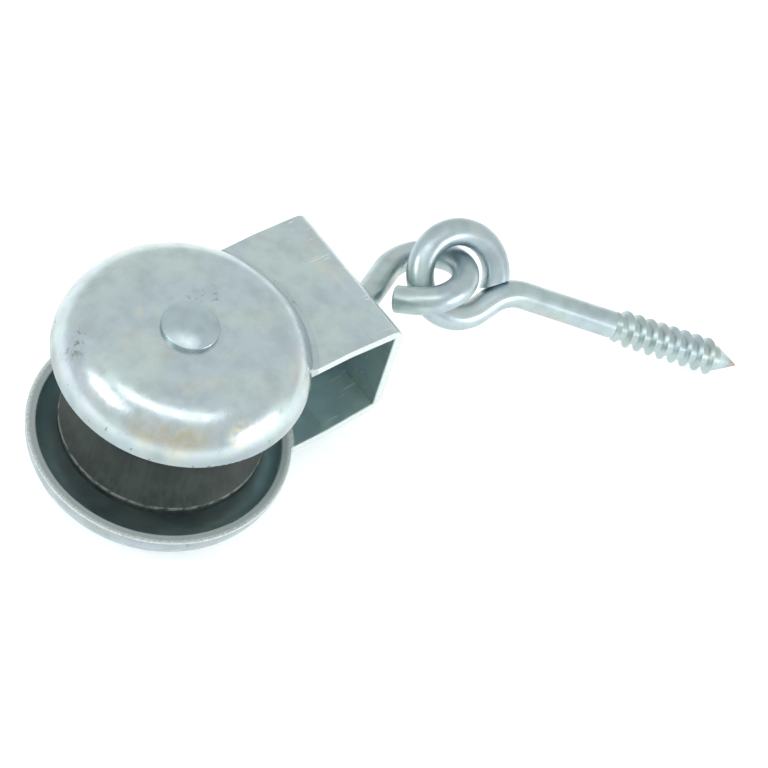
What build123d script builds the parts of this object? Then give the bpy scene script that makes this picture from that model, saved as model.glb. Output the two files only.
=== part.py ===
"""Gate-closer pulley: a sheave in a one-piece strap housing, with a swivel hook and a screw eye.

Frame: the origin is the middle of the sheave, on its axle. +Z is the axle, towards the rivet's
domed head. +X runs along the strap to its web and the hook. Millimetres and degrees.
"""

import os
from math import cos, radians, sin, tan

from build123d import *

# ---------------------------------------------------------------- housing, driving sizes
sheet = 2.2                 # thickness of the sheet metal
cheek_radius = 26.0         # outer radius of the upper cheek at its rim
tail_cheek_spare = 0.9      # how much larger the lower cheek is, on the rivet's tail side
cheek_depth = 10.3          # from the rim out to the flat round the rivet
cheek_flat_radius = 7.0     # flat that the rivet head bears on
shoulder_radius = 10.0      # rounding between a cheek's crown and its wall
crown_slope = 6.0           # slope of the crown where the shoulder starts
wall_lean = 8.0             # how far the wall leans in from upright
strap_gap = 25.0            # between the arms at the cheeks, which is also from rim to rim
arm_lean_in = 1.3           # how far each arm has leaned in where it meets the web
arm_level_margin = 3.0      # the arms stay level this far past the lower cheek
arm_bend_radius = 30.0      # where they start to lean in
strap_width = 33.0
web_margin = 16.7           # from the lower cheek's rim to the web's outer face
strap_bend_radius = 1.6     # inside radius of the two bends
strap_blend_radius = 2.0    # hollow between an arm and the wall of its cheek
edge_break = 0.35           # rounding of the sheared edges

# ---------------------------------------------------------------- axle, driving sizes
axle_radius = 3.0
axle_clearance = 0.05       # rivet in its tube and in the cheeks
tube_wall = 1.2
head_radius = 5.85
head_edge = 0.9             # height of the head's upright edge
head_dome = 1.7             # rise of the head above that edge
tail_radius = 4.8
tail_edge = 0.6
tail_dome = 1.0

# ---------------------------------------------------------------- sheave, driving sizes
running_clearance = 0.06    # sheave bore on the spacer tube, and hook in the web
sheave_end_float = 0.35     # between a hub end and the cheek
flange_radius = 20.8
groove_half_width = 9.2
groove_depth = 2.8
flange_thickness = 2.0
hub_radius = 8.0
recess_depth = 6.0          # ring-shaped hollow in each side of the sheave
recess_wall = 3.2           # between that hollow and the flange
sheave_edge_break = 0.25

# ---------------------------------------------------------------- hook, driving sizes
hook_rod_radius = 2.8
hook_roll = 23.0            # the hook's plane is turned this far about the strap's axis
hook_stand_off = 4.1        # straight shank beyond the web
hook_bend_angle = 29.0
hook_bend_radius = 7.0
hook_run = 8.2              # straight between the bend and the bowl
bowl_radius = 8.3           # centre line of the bowl
bowl_turn = 262.0
tip_run = 4.0               # straight tip
washer_radius = 6.0
washer_thickness = 1.4
web_play = 0.3              # between the web and the washer
peen_radius = 4.6
peen_height = 2.6
peen_round = 1.56           # rounding of the peened end's rim
rod_edge_break = 0.5

# ---------------------------------------------------------------- screw eye, driving sizes
eye_wire_radius = 2.8
link_play = 1.627           # from the bowl's centre to the ring's, beyond both wires' radii
link_turn = -20.1           # where the ring's centre lies round the bowl's, in the hook's plane
link_lift = -8.65           # and how far out of that plane
eye_yaw = -35.0             # the shank points this far round from +X
eye_dip = 19.5              # and this far down
eye_roll = 36.4             # the ring is rolled this far about the shank's axis
ring_radius = 8.55          # centre line of the ring
ring_leave = -42.0          # angle on the ring where the wire leaves it for the neck
neck_radius = 9.0           # bend from the neck into the shank
ring_end_cut = 125.0        # direction of the sheared end's face, in the ring's plane
ring_end_gap = 0.15         # slit between that face and the neck
ring_seam = 60.0            # angle on the ring, far from its end, where its two lengths meet
ring_end_spare = 12.0       # the ring runs on this far past 0 degrees, to be sheared off
thread_start = 36.5         # from the ring's centre to the first thread
thread_pitch = 2.8
thread_length = 25.2
thread_radius = 3.7         # crest
core_radius = 2.62          # root
thread_crest = 0.2          # width of the crest
thread_back = 0.9           # slope on the ring's side, along the shank
thread_front = 0.35         # slope on the point's side
thread_root_bite = 0.3      # how deep the thread's foot sits in the core
thread_runout = 3.0         # length over which the thread rises at its start
thread_tail = 1.2           # length over which it falls at the point
thread_clear = 0.6          # the cones that fade the thread run on this far past its crest
core_lap = 0.5              # length of the core inside the plain shank
point_length = 5.2
point_flat_radius = 0.15

# ---------------------------------------------------------------- worked-out places
tail_cheek_radius = cheek_radius + tail_cheek_spare
strap_reach = tail_cheek_radius + web_margin        # from the axle to the web's outer face
rim_z = strap_gap / 2
web_z = rim_z - arm_lean_in                         # an arm's inner face where it meets the web
flat_z = rim_z + cheek_depth
floor_z = flat_z - sheet
tube_radius = axle_radius + axle_clearance + tube_wall
hub_half_length = floor_z - sheave_end_float
flange_z = groove_half_width + flange_thickness
web_inner_x = strap_reach - sheet
washer_x = web_inner_x - web_play - washer_thickness
same = 0.01                 # two lengths closer than this are the same, when edges are picked

os.makedirs("parts", exist_ok=True)


def crown_radius(rim_radius):
    """Radius of the crown that joins the flat, the shoulder and the wall without a kink."""
    slope, lean = radians(crown_slope), radians(wall_lean)
    reach = rim_radius - cheek_flat_radius - shoulder_radius * (cos(lean) - sin(slope))
    wall_foot = cheek_depth - shoulder_radius * (cos(slope) - sin(lean))
    return (reach - wall_foot * tan(lean)) / (sin(slope) - (1 - cos(slope)) * tan(lean))


def cheek_outline(rim_radius, inset):
    """Half section of a cheek, filled to the axle, its surface moved in by inset."""
    slope, lean = radians(crown_slope), radians(wall_lean)
    crown = crown_radius(rim_radius)
    crown_centre = (cheek_flat_radius, flat_z - crown)
    shoulder_centre = (
        crown_centre[0] + (crown - shoulder_radius) * sin(slope),
        crown_centre[1] + (crown - shoulder_radius) * cos(slope),
    )
    wall_height = shoulder_centre[1] + (shoulder_radius - inset) * sin(lean) - rim_z
    shoulder = CenterArc(
        shoulder_centre, shoulder_radius - inset, wall_lean, 90 - crown_slope - wall_lean
    )
    flat_end = (cheek_flat_radius, flat_z - inset)
    Spline(shoulder @ 1, flat_end, tangents=((-cos(slope), sin(slope)), (-1, 0)))
    wall_foot = (shoulder @ 0) + Vector(wall_height * tan(lean), -wall_height)
    Polyline(shoulder @ 0, wall_foot, (0, rim_z), (0, flat_z - inset), flat_end)


def rivet_head(foot_z, radius, edge, dome):
    """Half section of a low domed head; a negative edge and dome make it hang from foot_z."""
    edge_z = foot_z + edge
    top_z = edge_z + dome
    ball = (radius**2 + dome**2) / (2 * dome)
    Polyline((0, top_z), (0, foot_z), (radius, foot_z), (radius, edge_z))
    RadiusArc((0, top_z), (radius, edge_z), ball)


# ================================================================ strap housing
# One stamping. Each half is made upright, and the lower one is turned over to join the upper.
housing_halves = []
arm_level_end = tail_cheek_radius + arm_level_margin
for rim_radius in (cheek_radius, tail_cheek_radius):
    with BuildPart() as half:
        with BuildSketch(Plane.XZ) as strap_section:
            with BuildLine():
                Polyline((0, rim_z), (arm_level_end, rim_z), (web_inner_x, web_z),
                         (web_inner_x, 0), (strap_reach, 0), (strap_reach, web_z + sheet),
                         (arm_level_end, rim_z + sheet), (0, rim_z + sheet), close=True)
            make_face()
            corners = strap_section.vertices()
            fillet(corners.sort_by_distance((strap_reach, web_z + sheet))[0],
                   strap_bend_radius + sheet)
            fillet(corners.sort_by_distance((web_inner_x, web_z))[0], strap_bend_radius)
            fillet(corners.sort_by_distance((arm_level_end, rim_z + sheet))[0],
                   arm_bend_radius + sheet)
            fillet(corners.sort_by_distance((arm_level_end, rim_z))[0], arm_bend_radius)
        extrude(amount=strap_width / 2, both=True)
        with BuildSketch(Plane.XZ):
            with BuildLine():
                cheek_outline(rim_radius, 0)
            make_face()
        revolve(axis=Axis.Z)
        blend_edges = half.edges().filter_by(
            lambda edge: edge.geom_type != GeomType.LINE
            and abs(edge.center().Z - rim_z - sheet) < same
            and abs(edge.center().X) > same
        )
        fillet(blend_edges, strap_blend_radius)
        with BuildSketch(Plane.XZ):
            with BuildLine():
                cheek_outline(rim_radius, sheet)
            make_face()
        revolve(axis=Axis.Z, mode=Mode.SUBTRACT)
        side_edges = half.edges().filter_by(
            lambda edge: abs(abs(edge.center().Y) - strap_width / 2) < same
            and edge.center().Z > same
        )
        rim_edges = half.edges().filter_by(
            lambda edge: edge.geom_type == GeomType.CIRCLE and abs(edge.center().Z - rim_z) < same
        )
        fillet(side_edges + rim_edges, edge_break)
    housing_halves.append(half.part)

with BuildPart() as strap_housing:
    add(housing_halves[0])
    add(housing_halves[1], rotation=(180, 0, 0))
    with BuildSketch(Plane.XY.offset(-flat_z)):
        Circle(axle_radius + axle_clearance)
    extrude(amount=2 * flat_z, mode=Mode.SUBTRACT)
    with BuildSketch(Plane.YZ.offset(web_inner_x)):
        Circle(hook_rod_radius + running_clearance)
    extrude(amount=sheet, mode=Mode.SUBTRACT)
strap_housing.part.label = "strap_housing"
export_step(strap_housing.part, "parts/strap_housing.step")

# ================================================================ spacer tube
with BuildPart() as spacer_tube:
    with BuildSketch(Plane.XY.offset(-floor_z)):
        Circle(tube_radius)
        Circle(axle_radius + axle_clearance, mode=Mode.SUBTRACT)
    extrude(amount=2 * floor_z)
spacer_tube.part.label = "spacer_tube"
export_step(spacer_tube.part, "parts/spacer_tube.step")

# ================================================================ axle rivet
with BuildPart() as axle_rivet:
    with BuildSketch(Plane.XZ):
        with BuildLine():
            rivet_head(flat_z, head_radius, head_edge, head_dome)
        make_face()
    revolve(axis=Axis.Z)
    with BuildSketch(Plane.XZ):
        with BuildLine():
            rivet_head(-flat_z, tail_radius, -tail_edge, -tail_dome)
        make_face()
    revolve(axis=Axis.Z)
    with BuildSketch(Plane.XY.offset(-flat_z)):
        Circle(axle_radius)
    extrude(amount=2 * flat_z)
    head_edges = axle_rivet.edges().filter_by(
        lambda edge: edge.geom_type == GeomType.CIRCLE
        and abs(edge.center().Z - flat_z - head_edge) < same
    )
    fillet(head_edges, edge_break)
axle_rivet.part.label = "axle_rivet"
export_step(axle_rivet.part, "parts/axle_rivet.step")

# ================================================================ sheave
with BuildPart() as sheave:
    with BuildSketch(Plane.XZ):
        with BuildLine():
            bore_radius = tube_radius + running_clearance
            recess_radius = flange_radius - groove_depth - recess_wall
            Polyline((flange_radius, groove_half_width), (flange_radius, flange_z),
                     (recess_radius, flange_z), (recess_radius, flange_z - recess_depth),
                     (hub_radius, flange_z - recess_depth), (hub_radius, hub_half_length),
                     (bore_radius, hub_half_length), (bore_radius, -hub_half_length),
                     (hub_radius, -hub_half_length), (hub_radius, recess_depth - flange_z),
                     (recess_radius, recess_depth - flange_z), (recess_radius, -flange_z),
                     (flange_radius, -flange_z), (flange_radius, -groove_half_width))
            ThreePointArc((flange_radius, -groove_half_width), (flange_radius - groove_depth, 0),
                          (flange_radius, groove_half_width))
        make_face()
    revolve(axis=Axis.Z)
    flange_edges = sheave.edges().filter_by(
        lambda edge: edge.geom_type == GeomType.CIRCLE and abs(edge.radius - flange_radius) < same
    )
    fillet(flange_edges, sheave_edge_break)
sheave.part.label = "sheave"
export_step(sheave.part, "parts/sheave.step")

# ================================================================ hook
hook_plane = Plane(
    origin=(0, 0, 0), x_dir=(1, 0, 0), z_dir=(0, sin(radians(hook_roll)), cos(radians(hook_roll)))
)
with BuildPart() as hook:
    with BuildLine(hook_plane) as rod_path:
        shank = Line((washer_x - peen_height / 2, 0), (strap_reach + hook_stand_off, 0))
        bend = JernArc(shank @ 1, shank % 1, hook_bend_radius, hook_bend_angle)
        run = Line(bend @ 1, (bend @ 1) + (bend % 1) * hook_run)
        bowl = JernArc(run @ 1, run % 1, bowl_radius, -bowl_turn)
        Line(bowl @ 1, (bowl @ 1) + (bowl % 1) * tip_run)
        bowl_centre = hook_plane.to_local_coords(bowl.arc_center)
    with BuildSketch(Plane(origin=rod_path.line @ 0, z_dir=rod_path.line % 0)):
        Circle(hook_rod_radius)
    sweep(path=rod_path.line)
    tip_face = hook.faces().sort_by_distance(rod_path.line @ 1)[0]
    fillet(tip_face.edges(), rod_edge_break)
    with BuildSketch(Plane.YZ.offset(washer_x)):
        Circle(peen_radius)
    extrude(amount=-peen_height)
    peen_face = hook.faces().sort_by(Axis.X)[0]
    fillet(peen_face.edges(), peen_round)
hook.part.label = "hook"
export_step(hook.part, "parts/hook.step")

# ================================================================ hook washer
with BuildPart() as hook_washer:
    with BuildSketch(Plane.YZ.offset(washer_x)):
        Circle(washer_radius)
        Circle(hook_rod_radius + running_clearance, mode=Mode.SUBTRACT)
    extrude(amount=washer_thickness)
    washer_edges = hook_washer.edges().filter_by(
        lambda edge: edge.geom_type == GeomType.CIRCLE and abs(edge.radius - washer_radius) < same
    )
    fillet(washer_edges, edge_break)
hook_washer.part.label = "hook_washer"
export_step(hook_washer.part, "parts/hook_washer.step")

# ================================================================ screw eye
# The ring hangs in the bowl. In its plane, x points from its centre along the shank to the point.
link = hook_rod_radius + eye_wire_radius + link_play
turn, lift = radians(link_turn), radians(link_lift)
ring_offset = Vector(link * cos(lift) * cos(turn), link * cos(lift) * sin(turn), link * sin(lift))
eye_centre = hook_plane.from_local_coords(bowl_centre + ring_offset)
yaw, dip, roll = radians(eye_yaw), radians(eye_dip), radians(eye_roll)
shank_axis = Vector(cos(dip) * cos(yaw), cos(dip) * sin(yaw), -sin(dip))
level = Vector(-sin(yaw), cos(yaw), 0)
ring_side = level * cos(roll) + shank_axis.cross(level) * sin(roll)
eye_plane = Plane(origin=eye_centre, x_dir=shank_axis, z_dir=shank_axis.cross(ring_side))

leave = radians(ring_leave)
neck_turn = 90 + ring_leave
neck_tangent = neck_radius * tan(radians(neck_turn / 2))
neck_slant = -ring_radius * sin(leave) / cos(leave)
neck_corner_x = ring_radius * cos(leave) - ring_radius * sin(leave) * tan(-leave)
neck_straight = neck_slant - neck_tangent
neck_centre = (neck_corner_x + neck_tangent, -neck_radius)
cut = radians(ring_end_cut)
cut_reach = neck_radius + eye_wire_radius + ring_end_gap
cut_plane = Plane(
    origin=eye_plane.from_local_coords(
        (neck_centre[0] + cut_reach * cos(cut), neck_centre[1] + cut_reach * sin(cut), 0)
    ),
    z_dir=shank_axis * cos(cut) + ring_side * sin(cut),
)
thread_end = thread_start + thread_length
point_x = thread_end + point_length
thread_height = thread_radius - core_radius
thread_cone = 1 + thread_clear / thread_height

# A right-hand wood thread, steeper on the side that faces the point, and faded at both ends.
with BuildPart() as thread:
    with BuildLine(eye_plane) as thread_path:
        Helix(thread_pitch, thread_length, core_radius, center=(thread_start, 0, 0),
              direction=shank_axis)
    thread_foot = thread_path.line @ 0
    thread_out = thread_foot - eye_plane.from_local_coords(Vector(thread_start, 0, 0))
    with BuildSketch(Plane(origin=thread_foot, x_dir=thread_out, z_dir=thread_path.line % 0)):
        with BuildLine():
            Polyline((-thread_root_bite, thread_crest + thread_back),
                     (thread_height, thread_crest / 2), (thread_height, -thread_crest / 2),
                     (-thread_root_bite, -thread_crest - thread_front), close=True)
        make_face()
    sweep(path=thread_path.line, is_frenet=True)
    with BuildSketch(eye_plane):
        with BuildLine():
            Polyline((thread_start, 0), (thread_start, core_radius),
                     (thread_start + thread_runout * thread_cone, thread_radius + thread_clear),
                     (thread_end - thread_tail * thread_cone, thread_radius + thread_clear),
                     (thread_end, core_radius), (thread_end, 0), close=True)
        make_face()
    revolve(axis=Axis(eye_centre, shank_axis), mode=Mode.INTERSECT)

with BuildPart() as screw_eye:
    # the ring's closed end, sheared to lie along the neck
    with BuildLine(eye_plane) as stub_path:
        CenterArc((0, 0), ring_radius, -ring_end_spare, ring_seam + ring_end_spare)
    with BuildSketch(Plane(origin=stub_path.line @ 0, z_dir=stub_path.line % 0)):
        Circle(eye_wire_radius)
    sweep(path=stub_path.line)
    split(bisect_by=cut_plane, keep=Keep.TOP)
    # the rest of the ring, the neck and the plain shank
    with BuildLine(eye_plane) as wire_path:
        ring = CenterArc((0, 0), ring_radius, ring_seam, 360 + ring_leave - ring_seam)
        slant = Line(ring @ 1, (ring @ 1) + (ring % 1) * neck_straight)
        neck = JernArc(slant @ 1, slant % 1, neck_radius, -neck_turn)
        Line(neck @ 1, (thread_start, 0))
    with BuildSketch(Plane(origin=wire_path.line @ 0, z_dir=wire_path.line % 0)):
        Circle(eye_wire_radius)
    sweep(path=wire_path.line)
    # the core under the thread, and the point
    with BuildSketch(eye_plane):
        with BuildLine():
            Polyline((thread_start - core_lap, 0), (thread_start - core_lap, core_radius),
                     (thread_end, core_radius), (point_x, point_flat_radius), (point_x, 0),
                     close=True)
        make_face()
    revolve(axis=Axis(eye_centre, shank_axis))
    add(thread.part)
screw_eye.part.label = "screw_eye"
export_step(screw_eye.part, "parts/screw_eye.step")
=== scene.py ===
"""Looks for the gate closer pulley: zinc plated sheet and rod, a dark iron sheave, a pale studio.

Everything is in metres, in the frame of the CAD model: +Z is the axle, +X runs to the hook.
"""

from math import cos, radians, sin

import bpy
from mathutils import Matrix, Vector


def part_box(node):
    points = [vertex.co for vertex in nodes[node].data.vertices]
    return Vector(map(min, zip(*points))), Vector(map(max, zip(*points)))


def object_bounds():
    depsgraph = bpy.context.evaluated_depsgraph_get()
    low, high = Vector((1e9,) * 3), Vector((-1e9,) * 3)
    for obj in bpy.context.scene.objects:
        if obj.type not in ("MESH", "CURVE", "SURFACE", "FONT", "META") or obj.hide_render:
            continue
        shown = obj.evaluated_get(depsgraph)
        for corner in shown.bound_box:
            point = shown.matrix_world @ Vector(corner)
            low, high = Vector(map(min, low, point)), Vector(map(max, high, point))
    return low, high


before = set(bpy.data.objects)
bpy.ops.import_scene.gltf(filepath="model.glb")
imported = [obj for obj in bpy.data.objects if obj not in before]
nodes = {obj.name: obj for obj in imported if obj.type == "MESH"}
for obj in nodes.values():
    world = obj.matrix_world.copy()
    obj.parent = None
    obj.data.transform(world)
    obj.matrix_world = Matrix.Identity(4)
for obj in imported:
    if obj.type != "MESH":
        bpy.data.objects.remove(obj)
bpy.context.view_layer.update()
mm = 0.001
micron = 0.000001

# ---------------------------------------------------------------- studio, driving values
view_azimuth = -52.4        # degrees; 0 looks along +Y
view_elevation = 52.6
view_roll = 19.0
view_distance = 1.27
view_aim = Vector((0.0338, -0.0233, 0.0096))
lens = 302.8                # mm
sensor_width = 36.0         # mm
floor_size = 6.0
floor_colour = (0.93, 0.94, 0.94, 1)
floor_glow_colour = (1, 1, 1, 1)
floor_glow = 0.34           # the floor glows a little, as a product table that is lit from below
floor_roughness = 0.9
room_colour = (0.95, 0.98, 0.97, 1)
room_strength = 0.88
lamp_target = Vector((0.02, 0, 0))
lamp_distance = 0.80
softboxes = (
    # name, azimuth from +X and elevation in degrees, width and height in metres, watts
    ("left", 164, 39, 0.28, 0.15, 1.1),
    ("overhead", view_azimuth - 90, 78, 0.70, 0.22, 0.9),
    ("right", -64, 8, 0.40, 0.22, 1.5),
)


def view_axes(azimuth, elevation, roll):
    """Right, up and forward of a camera that looks down by elevation, turned by roll."""
    a, e, r = radians(azimuth), radians(elevation), radians(roll)
    forward = Vector((-sin(a) * cos(e), cos(a) * cos(e), -sin(e)))
    level = Vector((cos(a), sin(a), 0))
    rise = level.cross(forward)
    return level * cos(r) + rise * sin(r), rise * cos(r) - level * sin(r), forward


def add_camera():
    right, up, forward = view_axes(view_azimuth, view_elevation, view_roll)
    place = view_aim - forward * view_distance
    turn = Matrix((right, up, -forward)).transposed().to_4x4()
    camera = bpy.data.objects.new("camera", bpy.data.cameras.new("camera"))
    camera.data.lens = lens
    camera.data.sensor_width = sensor_width
    camera.matrix_world = Matrix.Translation(place) @ turn
    bpy.context.scene.collection.objects.link(camera)
    bpy.context.scene.camera = camera


def add_softbox(name, azimuth, elevation, width, height, power):
    """An area lamp that shines on the object from azimuth and elevation."""
    data = bpy.data.lights.new(name, "AREA")
    data.shape = "RECTANGLE"
    data.size, data.size_y = width, height
    data.energy = power
    a, e = radians(azimuth), radians(elevation)
    way = Vector((cos(a) * cos(e), sin(a) * cos(e), sin(e)))
    turn = (-way).to_track_quat("-Z", "Y").to_matrix().to_4x4()
    lamp = bpy.data.objects.new(name, data)
    lamp.matrix_world = Matrix.Translation(lamp_target + way * lamp_distance) @ turn
    bpy.context.scene.collection.objects.link(lamp)


def add_floor():
    half, low = floor_size / 2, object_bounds()[0][2]
    corners = [(-half, -half, low), (half, -half, low), (half, half, low), (-half, half, low)]
    mesh = bpy.data.meshes.new("floor")
    mesh.from_pydata(corners, [], [(0, 1, 2, 3)])
    floor = bpy.data.objects.new("floor", mesh)
    bpy.context.scene.collection.objects.link(floor)
    paint = bpy.data.materials.new("floor_paint")
    paint.use_nodes = True
    shader = paint.node_tree.nodes["Principled BSDF"]
    shader.inputs["Base Color"].default_value = floor_colour
    shader.inputs["Roughness"].default_value = floor_roughness
    shader.inputs["Emission Color"].default_value = floor_glow_colour
    shader.inputs["Emission Strength"].default_value = floor_glow
    mesh.materials.append(paint)


def add_studio():
    add_floor()
    world = bpy.data.worlds.new("room")
    world.use_nodes = True
    world.node_tree.nodes["Background"].inputs["Color"].default_value = room_colour
    world.node_tree.nodes["Background"].inputs["Strength"].default_value = room_strength
    bpy.context.scene.world = world
    bpy.context.scene.view_settings.view_transform = "Standard"
    for softbox in softboxes:
        add_softbox(*softbox)


# ---------------------------------------------------------------- shader helpers
class Paint:
    """A metal's node tree. Its calls add nodes and hand back output sockets."""

    def __init__(self, name):
        self.material = bpy.data.materials.new(name)
        self.material.use_nodes = True
        self.tree = self.material.node_tree
        self.shader = self.tree.nodes["Principled BSDF"]
        coordinates = self.tree.nodes.new("ShaderNodeTexCoord")
        self.place = coordinates.outputs["Object"]
        self.normal = coordinates.outputs["Normal"]
        split = self.tree.nodes.new("ShaderNodeSeparateXYZ")
        self.wire(split.inputs[0], self.place)
        self.x, self.y, self.z = split.outputs

    def wire(self, socket, value):
        """Links an output to a socket, or sets a plain number or colour on it."""
        if isinstance(value, bpy.types.NodeSocket):
            self.tree.links.new(value, socket)
        else:
            socket.default_value = value

    def math(self, operation, first, *others):
        """Works through the values from left to right."""
        for other in others or (0.0,):
            node = self.tree.nodes.new("ShaderNodeMath")
            node.operation = operation
            self.wire(node.inputs[0], first)
            self.wire(node.inputs[1], other)
            first = node.outputs[0]
        return first

    def times(self, *values):
        return self.math("MULTIPLY", *values)

    def total(self, *values):
        return self.math("ADD", *values)

    def largest(self, *values):
        return self.math("MAXIMUM", *values)

    def from_axle(self):
        """Distance from the Z axis."""
        return self.math("SQRT", self.total(self.times(self.x, self.x), self.times(self.y, self.y)))

    def vector_math(self, operation, a, b):
        node = self.tree.nodes.new("ShaderNodeVectorMath")
        node.operation = operation
        self.wire(node.inputs[0], a)
        self.wire(node.inputs[1], b)
        return node.outputs["Value"]

    def stretched(self, turn=(0, 0, 0), scale=(1, 1, 1)):
        """The place on the object, turned by degrees and then stretched."""
        node = self.tree.nodes.new("ShaderNodeMapping")
        node.inputs["Rotation"].default_value = [radians(angle) for angle in turn]
        node.inputs["Scale"].default_value = scale
        self.wire(node.inputs["Vector"], self.place)
        return node.outputs[0]

    def noise(self, size, detail, warp=0.0, vector=None):
        """Soft noise whose lumps are about size across, from 0 to 1."""
        node = self.tree.nodes.new("ShaderNodeTexNoise")
        node.inputs["Scale"].default_value = 1 / size
        node.inputs["Detail"].default_value = detail
        node.inputs["Distortion"].default_value = warp
        self.wire(node.inputs["Vector"], vector or self.place)
        return node.outputs["Fac"]

    def fade(self, value, start, end, low=0.0, high=1.0):
        """Goes smoothly from low to high as value goes from start to end."""
        node = self.tree.nodes.new("ShaderNodeMapRange")
        node.interpolation_type = "SMOOTHSTEP"
        for socket, number in zip(list(node.inputs)[1:5], (start, end, low, high)):
            socket.default_value = number
        self.wire(node.inputs["Value"], value)
        return node.outputs[0]

    def below(self, value, start, end):
        """1 up to start, 0 from end on."""
        return self.fade(value, start, end, 1.0, 0.0)

    def spot(self, centre, radius, soft):
        """1 within radius of a point, 0 beyond radius + soft, all in millimetres."""
        reach = self.vector_math("DISTANCE", self.place, [mm * value for value in centre])
        return self.below(reach, mm * radius, mm * (radius + soft))

    def mix(self, share, a, b, blend="MIX"):
        node = self.tree.nodes.new("ShaderNodeMix")
        node.data_type = "RGBA"
        node.blend_type = blend
        self.wire(node.inputs["Factor"], share)
        self.wire(node.inputs["A"], a)
        self.wire(node.inputs["B"], b)
        return node.outputs["Result"]

    def tinted(self, colour, tint):
        return self.mix(1.0, colour, tint, "MULTIPLY")

    def finish(self, colour, roughness, height, metallic=1.0):
        """height is the bump, in metres."""
        self.wire(self.shader.inputs["Base Color"], colour)
        self.wire(self.shader.inputs["Roughness"], roughness)
        self.wire(self.shader.inputs["Metallic"], metallic)
        node = self.tree.nodes.new("ShaderNodeBump")
        node.inputs["Strength"].default_value = 1.0
        node.inputs["Distance"].default_value = 1.0
        self.wire(node.inputs["Height"], height)
        self.wire(self.shader.inputs["Normal"], node.outputs[0])
        return self.material


# ---------------------------------------------------------------- colours
zinc_cool = (0.53, 0.62, 0.66, 1)
zinc_green = (0.56, 0.66, 0.655, 1)
zinc_warm = (0.64, 0.67, 0.62, 1)
zinc_violet = (0.58, 0.61, 0.70, 1)
zinc_grime = (0.17, 0.18, 0.17, 1)
chromate = (0.55, 0.48, 0.32, 1)
chromate_pale = (0.86, 0.76, 0.46, 1)
sheared_zinc = (0.42, 0.46, 0.45, 1)
# pale zinc: real scratches on the strap, and the painted highlight on sheared faces
scratch_and_highlight_zinc = (0.74, 0.79, 0.78, 1)
bare_steel = (0.40, 0.34, 0.30, 1)
iron_dark = (0.015, 0.024, 0.022, 1)
iron_pale = (0.034, 0.047, 0.043, 1)
# pale line on the flange corners: painted highlight, partly wear
iron_highlight_and_wear = (0.16, 0.18, 0.17, 1)
# these multiply the zinc's colour
# painted shade on the cheeks' walls
wall_shade_tint = (0.66, 0.68, 0.68, 1)
rod_tint = (0.87, 0.89, 0.90, 1)
# painted shade on the inner faces, inside the cups and the strap
inside_shade_tint = (0.74, 0.87, 0.86, 1)

# ---------------------------------------------------------------- sizes that the finishes follow
cheek_radius = -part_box("strap_housing")[0].x        # the lower cheek, which is the larger
flange_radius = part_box("sheave")[1].x
groove_edge = 9.7 * mm                              # from the sheave's middle to just past its groove
strap_half_width = 16.5 * mm
strap_start = 21.0 * mm                             # where the arms' sides come clear of the cheeks
rim_height = 12.5 * mm
eye_low, eye_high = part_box("screw_eye")
screw_tip = (eye_high.x, eye_low.y, eye_low.z)

# ---------------------------------------------------------------- marks on the upper cheek
# centre, radius and softness, in millimetres
stain_spot = ((-16.0, -17.0, 18.5), 4.0, 7.0)       # yellow-brown, on the shoulder
pale_stain_spot = ((-3.5, -23.5, 18.6), 0.8, 3.2)   # yellow, on the shoulder
scuff_spot = ((-20.5, 9.5, 19.5), 1.0, 4.0)         # on the shoulder's far left
rub_spot = ((6.5, 4.0, 23.0), 1.0, 5.0)             # beside the rivet


def zinc_clouds(paint, grime):
    """Zinc plate: cool grey-green with slow warm patches and fine grey mottling."""
    mottle = paint.noise(4.0 * mm, detail=4)
    cloud = paint.fade(paint.noise(16.0 * mm, detail=2, warp=0.6), 0.42, 0.62)
    warm = paint.fade(paint.noise(11.0 * mm, detail=2, warp=1.2), 0.52, 0.72)
    colour = paint.mix(cloud, zinc_cool, zinc_green)
    colour = paint.mix(paint.times(warm, 0.7), colour, zinc_warm)
    colour = paint.mix(paint.times(paint.fade(mottle, 0.35, 0.75), grime), colour, zinc_grime)
    return colour, mottle


def add_stains(paint, colour, radius, on_cheek):
    """Violet film where the sheet was drawn over the shoulder, and yellow chromate stains."""
    film = paint.times(
        paint.fade(radius, 0.70 * cheek_radius, 0.94 * cheek_radius),
        on_cheek,
        paint.fade(paint.noise(7.0 * mm, detail=3, warp=0.8), 0.45, 0.62),
    )
    colour = paint.mix(paint.times(film, 0.5), colour, zinc_violet)
    ragged = paint.noise(2.2 * mm, detail=4, warp=0.5)
    stain = paint.times(
        paint.fade(radius, 21.0 * mm, 23.0 * mm),
        paint.below(radius, 24.2 * mm, 25.6 * mm),
        paint.spot(*stain_spot),
        paint.fade(ragged, 0.22, 0.66),
    )
    colour = paint.mix(paint.times(stain, 0.7), colour, chromate)
    pale = paint.times(paint.spot(*pale_stain_spot), paint.fade(ragged, 0.40, 0.60))
    return paint.mix(paint.times(pale, 0.7), colour, chromate_pale)


def add_scuffs(paint, colour, radius, on_cheek):
    """Dark scuffs on the shoulder and by the rivet, and ticks along the wall."""
    speck = paint.noise(1.2 * mm, detail=4)
    scuff = paint.times(paint.spot(*scuff_spot), paint.fade(speck, 0.55, 0.66))
    rub = paint.times(paint.spot(*rub_spot), paint.fade(speck, 0.57, 0.68))
    ticks = paint.times(
        paint.fade(radius, 0.92 * cheek_radius, 0.95 * cheek_radius),
        on_cheek,
        paint.fade(paint.noise(1.6 * mm, detail=3, warp=0.3), 0.66, 0.72),
    )
    return paint.mix(paint.times(paint.largest(scuff, rub, ticks), 0.6), colour, zinc_grime)


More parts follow.
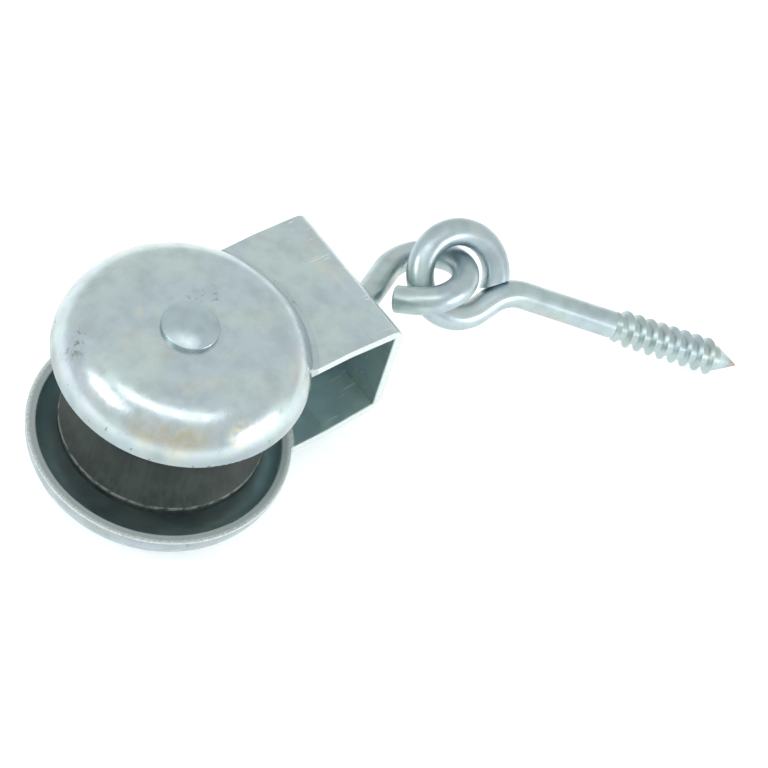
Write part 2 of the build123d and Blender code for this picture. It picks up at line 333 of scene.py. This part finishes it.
def scratch_mask(paint):
    """Short scratches across the strap, near its bend."""
    slanted = paint.stretched(turn=(0, 0, 25), scale=(0.14, 2.2, 1.0))
    return paint.times(
        paint.fade(paint.noise(1.0 * mm, detail=0, vector=slanted), 0.70, 0.76),
        paint.fade(paint.noise(6.0 * mm, detail=1), 0.46, 0.56),
        paint.fade(paint.x, 28.0 * mm, 36.0 * mm),
    )


def wall_shade_mask(paint, radius, on_cheek):
    """The cheeks' walls, darkened with painted shade; less so beside the strap."""
    return paint.times(
        paint.fade(radius, 0.935 * cheek_radius, 0.965 * cheek_radius),
        on_cheek,
        paint.fade(paint.noise(9.0 * mm, detail=2), 0.25, 0.60, 0.55, 1.0),
        paint.fade(paint.x, 0.0, 0.45 * cheek_radius, 1.0, 0.35),
    )


def sheared_mask(paint, radius, on_cheek):
    """The faces that were sheared: the cheeks' rims and the sides of the strap."""
    rim = paint.times(
        paint.fade(radius, 0.86 * cheek_radius, 0.87 * cheek_radius),
        on_cheek,
        paint.below(paint.math("ABSOLUTE", paint.z), rim_height + 0.10 * mm, rim_height + 0.25 * mm),
    )
    side = paint.fade(
        paint.math("ABSOLUTE", paint.y), strap_half_width - 0.20 * mm, strap_half_width - 0.05 * mm
    )
    return paint.largest(
        rim, paint.times(side, paint.fade(paint.x, strap_start, strap_start + 1.0 * mm))
    )


def zinc_sheet():
    paint = Paint("zinc_sheet_finish")
    colour, mottle = zinc_clouds(paint, grime=0.20)
    radius = paint.from_axle()
    on_cheek = paint.below(radius, 1.01 * cheek_radius, 1.02 * cheek_radius)
    # faces that look towards the axle's middle are the inner ones
    outward = paint.vector_math("DOT_PRODUCT", paint.normal, paint.place)
    inward = paint.below(outward, -1.2 * mm, 0.6 * mm)
    colour = add_stains(paint, colour, radius, on_cheek)
    colour = add_scuffs(paint, colour, radius, on_cheek)
    scratch = scratch_mask(paint)
    colour = paint.mix(paint.times(scratch, 0.9), colour, scratch_and_highlight_zinc)
    # painted shade: the cheeks' walls are darkened, less so beside the strap
    wall = wall_shade_mask(paint, radius, on_cheek)
    colour = paint.mix(wall, colour, paint.tinted(colour, wall_shade_tint))
    # inner faces, inside the cups and the strap: painted shade makes them darker; they are also duller
    colour = paint.mix(inward, colour, paint.tinted(colour, inside_shade_tint))
    # sheared faces are torn grey metal, with a painted highlight along the rims' outer corners and on the
    # strap's sides towards the web
    sheared = sheared_mask(paint, radius, on_cheek)
    edge_highlight = paint.largest(
        paint.fade(radius, 0.955 * cheek_radius, 0.985 * cheek_radius),
        paint.fade(paint.x, 30.0 * mm, 34.0 * mm),
    )
    torn = paint.noise(0.5 * mm, detail=4)
    torn_share = paint.times(sheared, paint.fade(torn, 0.25, 0.65, 0.35, 0.95))
    colour = paint.mix(torn_share, colour, paint.mix(edge_highlight, sheared_zinc, scratch_and_highlight_zinc))
    roughness = paint.total(
        paint.fade(paint.noise(3.0 * mm, detail=4), 0.3, 0.7, 0.20, 0.34),
        paint.times(inward, 0.12),
        paint.times(sheared, 0.25),
    )
    dull = paint.largest(paint.times(sheared, 0.7), paint.times(inward, 0.25))
    height = paint.total(
        paint.times(paint.noise(0.6 * mm, detail=3), 4 * micron),
        paint.times(mottle, 35 * micron),
        paint.times(scratch, -20 * micron),
        paint.times(sheared, torn, 50 * micron),
    )
    return paint.finish(colour, roughness, height, paint.math("SUBTRACT", 1.0, dull))


def zinc_rod(name):
    paint = Paint(name)
    colour, mottle = zinc_clouds(paint, grime=0.25)
    colour = paint.tinted(colour, rod_tint)
    # the point is bare steel: the plate was rubbed off it
    from_tip = paint.vector_math("DISTANCE", paint.place, screw_tip)
    bare = paint.times(
        paint.below(from_tip, 3.0 * mm, 4.2 * mm), paint.fade(paint.noise(1.1 * mm, detail=3), 0.25, 0.50)
    )
    colour = paint.mix(bare, colour, bare_steel)
    roughness = paint.fade(paint.noise(3.0 * mm, detail=4), 0.3, 0.7, 0.30, 0.42)
    height = paint.total(
        paint.times(paint.noise(0.5 * mm, detail=3), 4 * micron), paint.times(mottle, 30 * micron)
    )
    return paint.finish(colour, roughness, height)


def dark_iron():
    """Dark iron with streaks along the axle, and a pale line on the corners of the groove: painted
    highlight, partly wear.
    """
    paint = Paint("sheave_finish")
    streaks = paint.noise(0.9 * mm, detail=3, vector=paint.stretched(scale=(1.0, 1.0, 0.08)))
    blotch = paint.noise(6.0 * mm, detail=3)
    colour = paint.mix(paint.fade(paint.total(streaks, blotch), 0.8, 1.25), iron_dark, iron_pale)
    # painted highlight, partly wear: a pale line on the flange corners beside the groove
    corner_highlight_and_wear = paint.times(
        paint.fade(paint.from_axle(), flange_radius - 0.22 * mm, flange_radius - 0.06 * mm),
        paint.below(paint.math("ABSOLUTE", paint.z), groove_edge, groove_edge + 0.1 * mm),
        paint.fade(paint.noise(1.6 * mm, detail=3), 0.32, 0.60),
    )
    colour = paint.mix(corner_highlight_and_wear, colour, iron_highlight_and_wear)
    roughness = paint.fade(streaks, 0.3, 0.7, 0.40, 0.55)
    height = paint.total(
        paint.times(paint.noise(0.6 * mm, detail=4), 20 * micron), paint.times(streaks, 10 * micron)
    )
    return paint.finish(colour, roughness, height, metallic=0.4)


def finish_nodes():
    rod = zinc_rod("zinc_rod_finish")
    finishes = {
        "strap_housing": zinc_sheet(),
        "axle_rivet": zinc_rod("rivet_finish"),
        "spacer_tube": rod,
        "sheave": dark_iron(),
        "hook": rod,
        "hook_washer": rod,
        "screw_eye": rod,
    }
    for name, finish in finishes.items():
        for slot in nodes[name].material_slots:
            slot.material = finish


add_camera()
add_studio()
finish_nodes()
